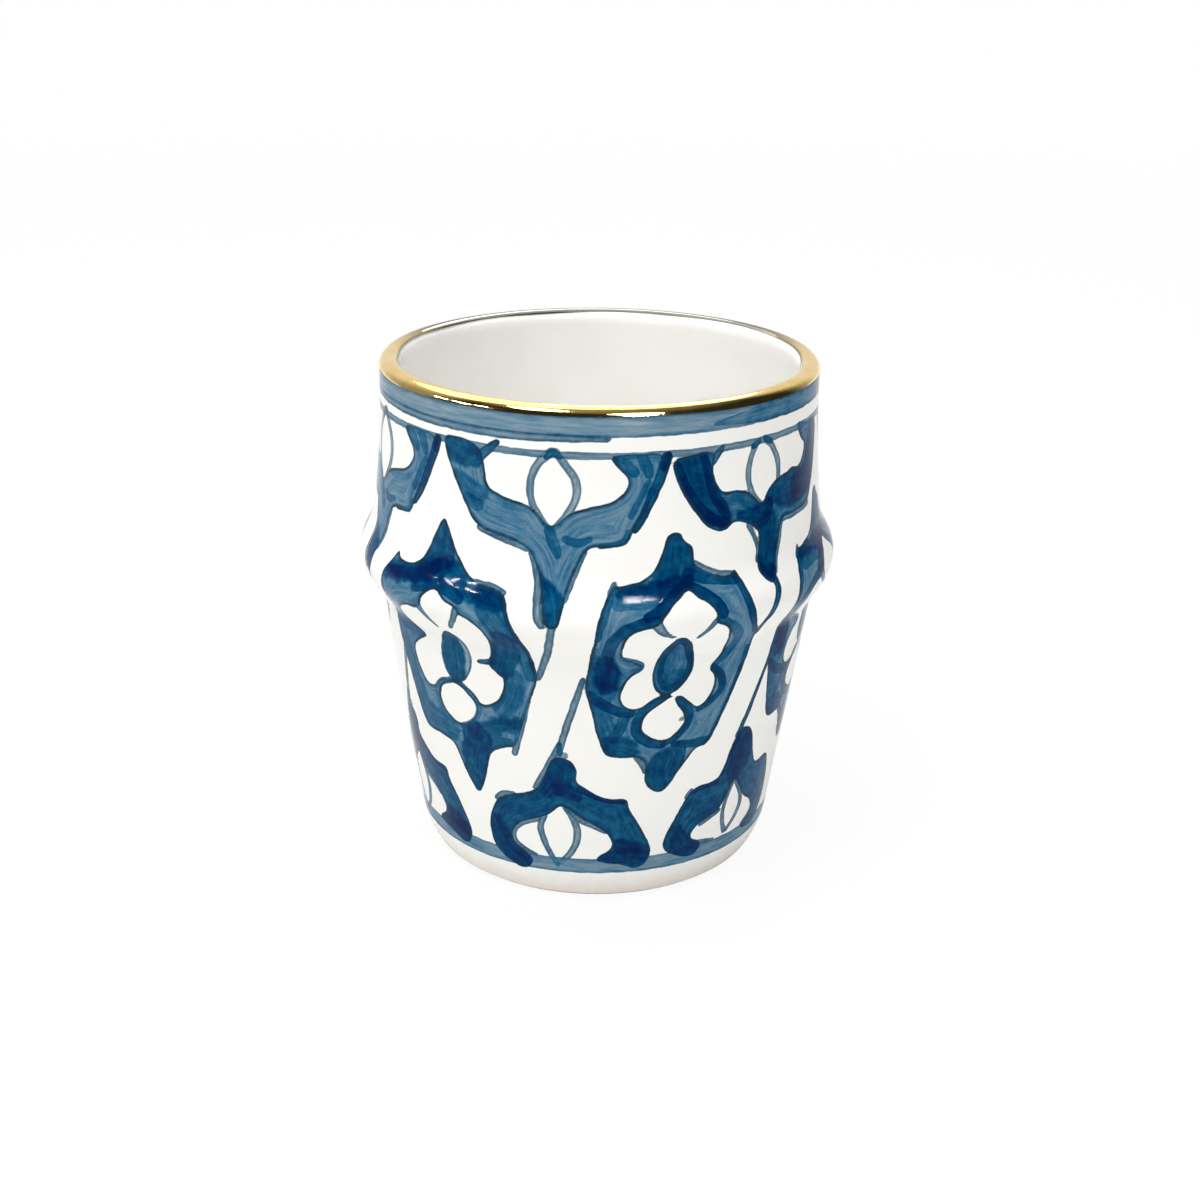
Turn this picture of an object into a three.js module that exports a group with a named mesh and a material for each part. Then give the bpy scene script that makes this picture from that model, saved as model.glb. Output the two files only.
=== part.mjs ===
// A handleless coffee cup of glazed earthenware: a clay body with a roll round its belly, a white glaze
// coat inside and outside, and a gilt lip. Millimetres, +Z up, origin at the middle of the foot.
import * as THREE from "three";

// Overall sizes of the glazed cup
const HEIGHT = 84.2; // foot to the crest of the lip
const RIM_RADIUS = 35.45; // outside of the wall where the lip starts to round over
const WALL = 3.3; // finished wall, both coats included
const SEGMENTS = 48; // facets round the cup

// The roll round the belly, with the neck above it and the cove below it
const ROLL_RADIUS = 39.45;
const ROLL_HEIGHT = 52.3;
const ROLL_WALL = 5; // finished wall at the crest of the roll
const ROLL_ROUND = 3.1; // how far the crest keeps upright, above and below
const NECK_RADIUS = 36.95;
const NECK_HEIGHT = 60;
const NECK_EASE = 3.4; // length over which the roll eases into the neck
const COVE_RADIUS = 36.15;
const COVE_HEIGHT = 45;
const COVE_EASE = 2.2; // length over which the cove turns out into the roll

// The lower end: a rounded edge, a glaze line and a bare foot ring
const BASE_RADIUS = 30.4;
const BASE_HEIGHT = 6; // top of the rounded lower edge
const GLAZE_LINE_RADIUS = 28.4;
const GLAZE_LINE_HEIGHT = 0.6;
const FOOT_RADIUS = 27.6;
const FOOT_RING_WIDTH = 4.6;
const FOOT_RECESS_DEPTH = 2.2;
const FOOT_RECESS_TAPER = 1.2; // how far the side of the recess leans in
const FLOOR = 4.2; // finished floor above the recess
const FLOOR_FILLET = 7; // between the floor and the inside of the wall

// The coats
const GLAZE = 0.4;
const GILDING = 0.12;
const GILDING_START = THREE.MathUtils.degToRad(12); // round the lip, from its outside
const GILDING_END = THREE.MathUtils.degToRad(150);

// Facets along the profile
const EDGE_STEPS = 3;
const ROLL_STEPS = 4;
const NECK_STEPS = 3;
const FILLET_STEPS = 3;
const LIP_STEPS = { low: 1, outer: 3, inner: 2, high: 1 };

const LIP_ROUND = WALL / 2;
const CREST_ANGLE = Math.PI / 2;
const FLOOR_HEIGHT = FOOT_RECESS_DEPTH + FLOOR;

const materials = {
  clay: new THREE.MeshStandardMaterial({ color: 0xcdb8a0, roughness: 0.85, metalness: 0 }),
  whiteGlaze: new THREE.MeshStandardMaterial({ color: 0xf4f2ed, roughness: 0.14, metalness: 0 }),
  paintedGlaze: new THREE.MeshStandardMaterial({ color: 0xd5dde4, roughness: 0.14, metalness: 0 }),
  gold: new THREE.MeshStandardMaterial({ color: 0xd2a13c, roughness: 0.16, metalness: 1 }),
};

const point = (radius, height) => new THREE.Vector2(radius, height);

// Joins runs of points end to end and drops the point that two runs share.
function join(...runs) {
  const joined = [];
  for (const run of runs) {
    for (const next of run) {
      const last = joined.at(-1);
      if (!last || last.distanceTo(next) > 1e-6) joined.push(next);
    }
  }
  return joined;
}

// Wall profile from the base to the start of the lip, set in from the finished outside: by inset on the
// plain wall, and by rollInset at the crest of the roll.
function wallProfile(inset, rollInset = inset) {
  const base = point(BASE_RADIUS - inset, BASE_HEIGHT);
  const cove = point(COVE_RADIUS - inset, COVE_HEIGHT);
  const roll = point(ROLL_RADIUS - rollInset, ROLL_HEIGHT);
  const neck = point(NECK_RADIUS - inset, NECK_HEIGHT);
  const rim = point(RIM_RADIUS - inset, HEIGHT - LIP_ROUND);
  const lowerRun = cove.clone().sub(base).normalize();
  const upperRun = rim.clone().sub(neck).normalize();
  const underRoll = new THREE.CubicBezierCurve(
    cove,
    cove.clone().addScaledVector(lowerRun, COVE_EASE),
    point(roll.x, roll.y - ROLL_ROUND),
    roll,
  );
  const overRoll = new THREE.CubicBezierCurve(
    roll,
    point(roll.x, roll.y + ROLL_ROUND),
    neck.clone().addScaledVector(upperRun, -NECK_EASE),
    neck,
  );
  const upright = (neck.y + rim.y) / 2; // height where the upper wall turns upright
  const upperWall = new THREE.QuadraticBezierCurve(neck, point(rim.x, upright), rim);
  return join(
    [base, cove],
    underRoll.getPoints(ROLL_STEPS),
    overRoll.getPoints(ROLL_STEPS),
    upperWall.getPoints(NECK_STEPS),
  );
}

// Part of the round over the lip, between two angles counted from the outside, grown by lift.
function lipArc(lift, from, to, steps) {
  const radius = LIP_ROUND + lift;
  const arc = [];
  for (let i = 0; i <= steps; i += 1) {
    const angle = from + ((to - from) * i) / steps;
    arc.push(
      point(
        RIM_RADIUS - LIP_ROUND + radius * Math.cos(angle),
        HEIGHT - LIP_ROUND + radius * Math.sin(angle),
      ),
    );
  }
  return arc;
}

const lip = {
  low: (lift) => lipArc(lift, 0, GILDING_START, LIP_STEPS.low),
  outer: (lift) => lipArc(lift, GILDING_START, CREST_ANGLE, LIP_STEPS.outer),
  inner: (lift) => lipArc(lift, CREST_ANGLE, GILDING_END, LIP_STEPS.inner),
  high: (lift) => lipArc(lift, GILDING_END, Math.PI, LIP_STEPS.high),
};

// Outside from the glaze line to the crest of the lip, set in by inset.
function outsideProfile(inset) {
  const wall = wallProfile(inset);
  const glazeLine = point(GLAZE_LINE_RADIUS - inset, GLAZE_LINE_HEIGHT);
  const run = wall[1].clone().sub(wall[0]);
  const edgeHeight = (GLAZE_LINE_HEIGHT + BASE_HEIGHT) / 2;
  const corner = wall[0].clone().addScaledVector(run, (edgeHeight - BASE_HEIGHT) / run.y);
  const edge = new THREE.QuadraticBezierCurve(glazeLine, corner, wall[0]);
  return join(edge.getPoints(EDGE_STEPS), wall, lip.low(-inset), lip.outer(-inset));
}

// Inside from the crest of the lip down to the middle of the floor, sunk by depth into the wall.
function insideProfile(depth) {
  const wall = wallProfile(WALL - depth, ROLL_WALL - depth);
  const [base, cove] = wall;
  const run = cove.clone().sub(base);
  const floorHeight = FLOOR_HEIGHT - depth;
  const onWall = (height) => base.clone().addScaledVector(run, (height - base.y) / run.y);
  const corner = onWall(floorHeight);
  const fillet = new THREE.QuadraticBezierCurve(
    onWall(floorHeight + FLOOR_FILLET),
    corner,
    point(corner.x - FLOOR_FILLET, floorHeight),
  );
  return join(
    lip.inner(-depth),
    lip.high(-depth),
    wall.slice(1).reverse(),
    fillet.getPoints(FILLET_STEPS),
    [point(0, floorHeight)],
  );
}

// A solid of revolution about +Z from a profile that goes up the outside and down the inside.
function turned(name, profile, material) {
  const mesh = new THREE.Mesh(new THREE.LatheGeometry(profile, SEGMENTS), material);
  mesh.name = name;
  return mesh;
}

function clayBody() {
  const recessRadius = FOOT_RADIUS - FOOT_RING_WIDTH;
  const foot = [
    point(0, FOOT_RECESS_DEPTH),
    point(recessRadius - FOOT_RECESS_TAPER, FOOT_RECESS_DEPTH),
    point(recessRadius, 0),
    point(FOOT_RADIUS, 0),
  ];
  return turned("clay_body", join(foot, outsideProfile(GLAZE), insideProfile(GLAZE)), materials.clay);
}

function outerGlaze() {
  const coat = outsideProfile(0);
  const seat = outsideProfile(GLAZE).reverse();
  return turned("outer_glaze", join(coat, seat, [coat[0]]), materials.paintedGlaze);
}

function innerGlaze() {
  const coat = insideProfile(0);
  const seat = insideProfile(GLAZE).reverse();
  return turned("inner_glaze", join(seat, coat), materials.whiteGlaze);
}

function goldRim() {
  const film = join(lip.outer(GILDING), lip.inner(GILDING));
  const seat = join(lip.outer(0), lip.inner(0)).reverse();
  return turned("gold_rim", join(film, seat, [film[0]]), materials.gold);
}

const cup = new THREE.Group();
cup.name = "coffee_cup";
cup.rotation.x = Math.PI / 2; // turned about Y, stood up on Z
cup.add(clayBody(), innerGlaze(), outerGlaze(), goldRim());

export default cup;
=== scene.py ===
"""A handleless coffee cup: glazed earthenware with a brushed blue lattice and a gilt lip."""
import math

import bpy
import numpy as np
from mathutils import Matrix, Vector


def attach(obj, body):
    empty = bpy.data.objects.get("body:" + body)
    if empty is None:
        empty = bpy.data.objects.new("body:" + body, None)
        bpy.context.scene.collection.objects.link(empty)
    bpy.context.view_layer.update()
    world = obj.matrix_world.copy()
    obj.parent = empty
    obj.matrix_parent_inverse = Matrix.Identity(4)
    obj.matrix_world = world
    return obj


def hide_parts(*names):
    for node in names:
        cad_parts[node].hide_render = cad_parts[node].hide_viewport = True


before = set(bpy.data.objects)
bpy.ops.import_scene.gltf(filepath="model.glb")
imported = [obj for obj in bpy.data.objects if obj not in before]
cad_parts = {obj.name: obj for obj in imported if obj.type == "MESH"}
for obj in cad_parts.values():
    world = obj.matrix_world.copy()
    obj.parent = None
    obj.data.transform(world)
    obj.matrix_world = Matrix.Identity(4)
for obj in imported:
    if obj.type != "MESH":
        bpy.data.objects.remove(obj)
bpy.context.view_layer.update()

MM = 0.001

# Sizes of the cup in millimetres, as the solids have them
HEIGHT = 84.2
RIM_RADIUS = 35.45
WALL = 3.3
LIP_ROUND = WALL / 2
ROLL_RADIUS, ROLL_HEIGHT = 39.45, 52.3
ROLL_WALL = 5.0
ROLL_ROUND = 3.1
NECK_RADIUS, NECK_HEIGHT, NECK_EASE = 36.95, 60.0, 3.4
COVE_RADIUS, COVE_HEIGHT, COVE_EASE = 36.15, 45.0, 2.2
BASE_RADIUS, BASE_HEIGHT = 30.4, 6.0
GLAZE_LINE_RADIUS, GLAZE_LINE_HEIGHT = 28.4, 0.6
FOOT_RADIUS, FOOT_RING_WIDTH = 27.6, 4.6
FOOT_RECESS_DEPTH, FOOT_RECESS_TAPER = 2.2, 1.2
FLOOR = 4.2
FLOOR_HEIGHT = FOOT_RECESS_DEPTH + FLOOR
FLOOR_FILLET = 7.0
GLAZE = 0.4
GILDING = 0.12
GILDING_START, GILDING_END = math.radians(12), math.radians(150)
CREST = math.pi / 2

# Fineness of the turned meshes: millimetres along the profile, and facets round the cup
PAINTED_STEP, PAINTED_FACETS = 0.46, 480
PLAIN_STEP, PLAIN_FACETS = 1.1, 224
WALL_STEPS, EDGE_STEPS, FILLET_STEPS = 32, 12, 16  # steps along each drawn curve
LIP_POINTS = 24
SEAT_SKIP = 8  # the hidden seat of the painted coat keeps one point in this many
SAME_POINT = 0.002 * MM
CRISP_FOLD = math.radians(40)  # edges that fold more than this stay crisp


# Node trees

class Wire:
    """A socket of a node tree that takes part in plain arithmetic."""

    def __init__(self, graph, socket):
        self.graph = graph
        self.socket = socket

    def __add__(self, other):
        return self.graph.math("ADD", self, other)

    def __radd__(self, other):
        return self.graph.math("ADD", other, self)

    def __sub__(self, other):
        return self.graph.math("SUBTRACT", self, other)

    def __rsub__(self, other):
        return self.graph.math("SUBTRACT", other, self)

    def __mul__(self, other):
        return self.graph.math("MULTIPLY", self, other)

    def __rmul__(self, other):
        return self.graph.math("MULTIPLY", other, self)

    def __truediv__(self, other):
        return self.graph.math("DIVIDE", self, other)

    def __rtruediv__(self, other):
        return self.graph.math("DIVIDE", other, self)


class Graph:
    """Adds nodes to a tree and hands back their sockets as wires."""

    def __init__(self, tree):
        self.tree = tree

    def node(self, kind, settings=None, inputs=None, output=0):
        made = self.tree.nodes.new(kind)
        for name, value in (settings or {}).items():
            if name == "stops":
                set_stops(made.color_ramp, value)
            else:
                setattr(made, name, value)
        for key, value in (inputs or {}).items():
            if isinstance(value, Wire):
                self.tree.links.new(value.socket, made.inputs[key])
            else:
                made.inputs[key].default_value = value
        return Wire(self, made.outputs[output])

    def math(self, operation, *values):
        return self.node("ShaderNodeMath", {"operation": operation}, dict(enumerate(values)))

    def attribute(self, name, output="Vector"):
        return self.node("ShaderNodeAttribute", {"attribute_name": name}, {}, output)

    def split(self, vector):
        apart = self.node("ShaderNodeSeparateXYZ", {}, {0: vector}).socket.node
        return [Wire(self, socket) for socket in apart.outputs]

    def join(self, x, y, z):
        return self.node("ShaderNodeCombineXYZ", {}, {0: x, 1: y, 2: z})

    def ramp(self, value, low, high, start=0.0, end=1.0):
        """Goes smoothly from start, where the value is low, to end, where it is high."""
        settings = {"interpolation_type": "SMOOTHSTEP"}
        inputs = {0: value, 1: low, 2: high, 3: start, 4: end}
        return self.node("ShaderNodeMapRange", settings, inputs)

    def noise(self, place, scale, detail=2.0, roughness=0.5):
        inputs = {"Vector": place, "Scale": scale, "Detail": detail, "Roughness": roughness}
        return self.node("ShaderNodeTexNoise", {}, inputs)

    def blend(self, factor, first, second):
        settings = {"data_type": "RGBA"}
        return self.node("ShaderNodeMix", settings, {0: factor, 6: first, 7: second}, 2)


def set_stops(ramp, stops):
    """Gives a colour ramp its stops, each a place from 0 to 1 and a colour."""
    while len(ramp.elements) < len(stops):
        ramp.elements.new(1.0)
    for element, (place, colour) in zip(ramp.elements, stops):
        element.position = place
        element.color = colour


def srgb(red, green, blue):
    """A colour as painted on a screen, 0 to 255, in the linear form that shaders take."""
    linear = []
    for value in (red, green, blue):
        share = value / 255
        linear.append(share / 12.92 if share <= 0.04045 else ((share + 0.055) / 1.055) ** 2.4)
    return (*linear, 1.0)


# Turned shapes, as (radius, height) runs in millimetres

def bezier(points, count):
    """Points along a Bezier curve, in so many steps."""
    share = np.linspace(0, 1, count + 1)[:, None]
    level = [np.asarray(p, float) for p in points]
    while len(level) > 1:
        level = [(1 - share) * a + share * b for a, b in zip(level, level[1:])]
    return level[0]


def joined(*runs):
    """Runs end to end, without the point that two runs share."""
    points = [np.asarray(runs[0][0], float)]
    for run in runs:
        for point in np.asarray(run, float):
            if np.linalg.norm(point - points[-1]) > 1e-6:
                points.append(point)
    return np.array(points)


def spaced(run, step):
    """The same run with points about one step apart."""
    lengths = np.concatenate([[0], np.cumsum(np.linalg.norm(np.diff(run, axis=0), axis=1))])
    marks = np.linspace(0, lengths[-1], max(2, round(lengths[-1] / step)) + 1)
    return np.stack([np.interp(marks, lengths, run[:, i]) for i in (0, 1)], axis=1)


def toward(start, end, distance):
    """The point so far from start, on the line to end."""
    start, end = np.asarray(start), np.asarray(end)
    return start + (end - start) / np.linalg.norm(end - start) * distance


def wall_run(inset, roll_inset=None):
    """Wall from the base to the start of the lip, set in from the finished outside."""
    roll_inset = inset if roll_inset is None else roll_inset
    base = (BASE_RADIUS - inset, BASE_HEIGHT)
    cove = (COVE_RADIUS - inset, COVE_HEIGHT)
    roll = (ROLL_RADIUS - roll_inset, ROLL_HEIGHT)
    neck = (NECK_RADIUS - inset, NECK_HEIGHT)
    rim = (RIM_RADIUS - inset, HEIGHT - LIP_ROUND)
    below, above = (roll[0], roll[1] - ROLL_ROUND), (roll[0], roll[1] + ROLL_ROUND)
    under = bezier([cove, toward(cove, base, -COVE_EASE), below, roll], WALL_STEPS)
    over = bezier([roll, above, toward(neck, rim, -NECK_EASE), neck], WALL_STEPS)
    upper = bezier([neck, (rim[0], (neck[1] + rim[1]) / 2), rim], WALL_STEPS)
    return joined([base, cove], under, over, upper)


def lip_run(lift, start, end):
    """Part of the round over the lip, between two angles counted from the outside, grown by lift."""
    angle = np.linspace(start, end, LIP_POINTS)
    reach = LIP_ROUND + lift
    centre = (RIM_RADIUS - LIP_ROUND, HEIGHT - LIP_ROUND)
    return np.stack([centre[0] + reach * np.cos(angle), centre[1] + reach * np.sin(angle)], axis=1)


def outside_run(inset):
    """Outside from the glaze line to the crest of the lip."""
    wall = wall_run(inset)
    rise = (GLAZE_LINE_HEIGHT - BASE_HEIGHT) / 2
    corner = wall[0] + (wall[1] - wall[0]) * rise / (wall[1] - wall[0])[1]
    edge = bezier([(GLAZE_LINE_RADIUS - inset, GLAZE_LINE_HEIGHT), corner, wall[0]], EDGE_STEPS)
    return joined(edge, wall, lip_run(-inset, 0, CREST))


def inside_run(depth):
    """Inside from the crest of the lip to the middle of the floor, sunk by depth into the wall."""
    wall = wall_run(WALL - depth, ROLL_WALL - depth)
    slope = (wall[1] - wall[0]) / (wall[1] - wall[0])[1]
    floor = FLOOR_HEIGHT - depth
    corner = wall[0] + slope * (floor - wall[0][1])
    on_floor = (corner[0] - FLOOR_FILLET, floor)
    fillet = bezier([corner + slope * FLOOR_FILLET, corner, on_floor], FILLET_STEPS)
    return joined(lip_run(-depth, CREST, math.pi), wall[:0:-1], fillet, [(0, floor)])


def turning_tree():
    """Geometry nodes that turn a profile, drawn in the XZ plane, once round the Z axis."""
    tree = bpy.data.node_groups.new("turned_on_the_wheel", "GeometryNodeTree")
    interface = tree.interface
    interface.new_socket("Geometry", in_out="INPUT", socket_type="NodeSocketGeometry")
    interface.new_socket("Facets", in_out="INPUT", socket_type="NodeSocketInt")
    interface.new_socket("Finish", in_out="INPUT", socket_type="NodeSocketMaterial")
    interface.new_socket("Geometry", in_out="OUTPUT", socket_type="NodeSocketGeometry")
    graph = Graph(tree)
    entry = tree.nodes.new("NodeGroupInput")
    profile, facets, finish = (Wire(graph, socket) for socket in entry.outputs[:3])

    def keep(geometry, name, value):
        settings = {"data_type": "FLOAT", "domain": "POINT"}
        inputs = {"Geometry": geometry, "Name": name, "Value": value}
        return graph.node("GeometryNodeStoreNamedAttribute", settings, inputs)

    def kept(name):
        return graph.node("GeometryNodeInputNamedAttribute", {"data_type": "FLOAT"}, {"Name": name})

    place = graph.split(graph.node("GeometryNodeInputPosition"))
    section = keep(keep(profile, "reach", place[0]), "height", place[2])
    section = graph.node("GeometryNodeMeshToCurve", {}, {"Mesh": section})
    circle = graph.node("GeometryNodeCurvePrimitiveCircle", {}, {"Resolution": facets})
    step = graph.node("GeometryNodeInputIndex")
    path = keep(circle, "turn", step * (2 * math.pi) / facets)
    swept = graph.node("GeometryNodeCurveToMesh", {}, {"Curve": path, "Profile Curve": section})
    turn, reach = kept("turn"), kept("reach")
    across = reach * graph.math("COSINE", turn)
    along = reach * graph.math("SINE", turn)
    spot = graph.join(across, along, kept("height"))
    body = graph.node("GeometryNodeSetPosition", {}, {"Geometry": swept, "Position": spot})
    body = graph.node("GeometryNodeMergeByDistance", {}, {"Geometry": body, "Distance": SAME_POINT})
    body = graph.node("GeometryNodeSetShadeSmooth", {}, {"Geometry": body})
    fold = graph.node("GeometryNodeInputMeshEdgeAngle")
    soft = graph.math("LESS_THAN", fold, CRISP_FOLD)
    inputs = {"Geometry": body, "Shade Smooth": soft}
    body = graph.node("GeometryNodeSetShadeSmooth", {"domain": "EDGE"}, inputs)
    body = graph.node("GeometryNodeRealizeInstances", {}, {"Geometry": body})
    body = graph.node("GeometryNodeSetMaterial", {}, {"Geometry": body, "Material": finish})
    leave = tree.nodes.new("NodeGroupOutput")
    tree.links.new(body.socket, leave.inputs[0])
    return tree


WHEEL = turning_tree()


def turned(name, run, facets, finish, closed):
    """A mesh turned from a run of (radius, height) points, with its faces pointing outwards."""
    profile = bpy.data.meshes.new(name + "_profile")
    points = [(radius * MM, 0, height * MM) for radius, height in run]
    links = [(i, i + 1) for i in range(len(run) - 1)]
    if closed:
        links.append((len(run) - 1, 0))
    profile.from_pydata(points, links, [])
    piece = bpy.data.objects.new(name, profile)
    bpy.context.scene.collection.objects.link(piece)
    modifier = piece.modifiers.new("wheel", "NODES")
    modifier.node_group = WHEEL
    sockets = {item.name: item.identifier for item in WHEEL.interface.items_tree
               if item.in_out == "INPUT"}
    modifier[sockets["Facets"]] = facets
    modifier[sockets["Finish"]] = finish
    depsgraph = bpy.context.evaluated_depsgraph_get()
    mesh = bpy.data.meshes.new_from_object(piece.evaluated_get(depsgraph), depsgraph=depsgraph)
    piece.modifiers.remove(modifier)
    piece.data = mesh
    bpy.data.meshes.remove(profile)
    mesh.name = name
    if enclosed_volume(mesh) < 0:
        mesh.flip_normals()
    return piece


def vertex_places(mesh):
    """Places of a mesh's vertices, one row each."""
    places = np.empty(len(mesh.vertices) * 3, np.float32)
    mesh.vertices.foreach_get("co", places)
    return places.reshape(-1, 3).astype(float)


def enclosed_volume(mesh):
    """Volume inside a closed mesh, below zero where its faces point inwards."""
    mesh.calc_loop_triangles()
    corners = np.empty(len(mesh.loop_triangles) * 3, np.int32)
    mesh.loop_triangles.foreach_get("vertices", corners)
    a, b, c = vertex_places(mesh)[corners.reshape(-1, 3)].transpose(1, 0, 2)
    return (a * np.cross(b, c)).sum() / 6


# The brushed lattice. Its points are millimetres round the wall from the front, measured at WALL_MEAN,
# and millimetres above the foot. A stroke's third number is half the width of the brush there.

WALL_MEAN = 36.0
GIRTH = 2 * math.pi * WALL_MEAN

# Loads of the brush: depth of the colour, how much of it pools at the edge, and how dark an outline
# it dries to
HAIR = (0.20, 0.06, 0.25)
LEAF = (0.24, 0.10, 0.40)
LINE = (0.28, 0.12, 0.45)
EDGE = (0.54, 0.12, 0.65)
WASH = (0.41, 0.24, 0.90)
BODY = (0.56, 0.20, 0.85)
DARK = (0.78, 0.12, 0.70)
INK = (0.96, 0.08, 0.50)

# Each motif has filled fields (load, outline, holes), strokes that stay inside its fields, and free lines.
# It is drawn where it stands on the front, about the centre drawn_at.
UPPER_FRONT = {
    "drawn_at": -6.5,
    "fields": ((WASH, (
        (-25.4, 77.6), (-23.5, 78.1), (-21, 78.1), (-18.6, 77.3), (-17.6, 75.6), (-17.3, 73), (-16.6, 71.1),
        (-14.5, 70.4), (-10.6, 69.5), (-9.2, 68.9), (-6.6, 65.9), (-4.2, 68.8), (0, 69.9), (2.4, 70.5),
        (4.2, 72), (4.7, 73.8), (3.2, 75.2), (1.4, 77.3), (4, 77.6), (10.4, 77.6), (9.6, 74.2), (7.4, 69.4),
        (5.2, 66.2), (4.7, 64.3), (2, 63.6), (-1.2, 63.8), (-2.8, 60.8), (-4.1, 57.4), (-5, 52),
        (-6, 51.6), (-7, 52), (-7.6, 55.4), (-8.4, 60.2), (-10.2, 63.4), (-14.5, 64.4), (-18.4, 65.1),
        (-20.6, 68), (-23.8, 73.4)), ()),),
    "inside": (
        (DARK, (-25, 76.8, 2), (-22, 75.8, 2.2), (-19.4, 75.6, 2), (-18, 76.4, 1.2)),
        (BODY, (-22.4, 72.6, .9), (-20.6, 71, 1.6), (-18.4, 70.2, 1.6), (-17.2, 70.6, .8)),
        (BODY, (-20.4, 69.2, .9), (-18.4, 68.4, 1)),
        (BODY, (-7, 66, .8), (-6.4, 64.4, 1), (-5.6, 62.4, .7)),
        (BODY, (-4.6, 64.8, .6), (-3, 64.2, .8), (-1, 64.8, .5)),
        (DARK, (-8.4, 59.4, .5), (-7.3, 57.4, 1.1), (-6.2, 55.8, 2), (-6, 53.6, 1.7), (-6, 52, 1.3)),
        (BODY, (1.8, 77.2, .6), (4, 76.2, 1), (5.4, 74.8, .8)),
        (EDGE, (1.6, 77.3, .5), (2.8, 76.6, .5)),
        (BODY, (6.4, 77.2, .9), (7.2, 75.6, 1), (7.6, 74.4, .7)),
        (BODY, (5, 68.4, .6), (6.4, 71, .6), (7.6, 73.4, .5)),
    ),
    "free": (
        (DARK, (10.3, 76.9, .85), (9.5, 74.3, .8), (8.1, 71.2, .8), (6.7, 68.2, .7), (5.5, 66.2, .5)),
        (INK, (10.4, 77, .6), (9.9, 75.4, .6)),
        (LEAF, (-6.8, 77.6, .7), (-8.6, 76.2, .62), (-9.9, 73.8, .62), (-10.1, 71.3, .6), (-9.4, 69.2, .55),
         (-8, 67.3, .5), (-6.8, 65.9, .4)),
        (LEAF, (-6.2, 77.6, .7), (-4.9, 76, .62), (-3.3, 74, .65), (-2.9, 72, .65), (-3.4, 69.9, .6),
         (-4.7, 68, .5), (-6.4, 66.1, .4)),
        (EDGE, (-7.6, 76.8, .45), (-6.6, 77.8, .65), (-5.5, 76.9, .45)),
        (EDGE, (-15.4, 78.2, .5), (-16.8, 77.1, .7), (-18.2, 75.8, .8)),
        (LINE, (-9.6, 62.4, .4), (-8.9, 60.4, .45), (-8.4, 58.2, .5), (-8.2, 55.6, .6), (-8, 53.4, .65),
         (-7.4, 52, .5)),
        (LINE, (-1.7, 63, .4), (-2.7, 60.6, .4), (-3.6, 58.2, .4), (-4.3, 56, .4)),
        (LINE, (-18, 65.1, .5), (-15.4, 64.2, .5), (-12.6, 63.6, .5), (-10.2, 62.9, .5)),
        (EDGE, (4.5, 66.2, .35), (4.3, 64.7, .5), (3.2, 64.2, .45), (0.4, 63.9, .4)),
        (LINE, (-6, 51.8, .55), (-6.5, 49, .6), (-7.3, 46, .6), (-8.2, 43.5, .55), (-8.8, 41.8, .4)),
    ),
}

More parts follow.
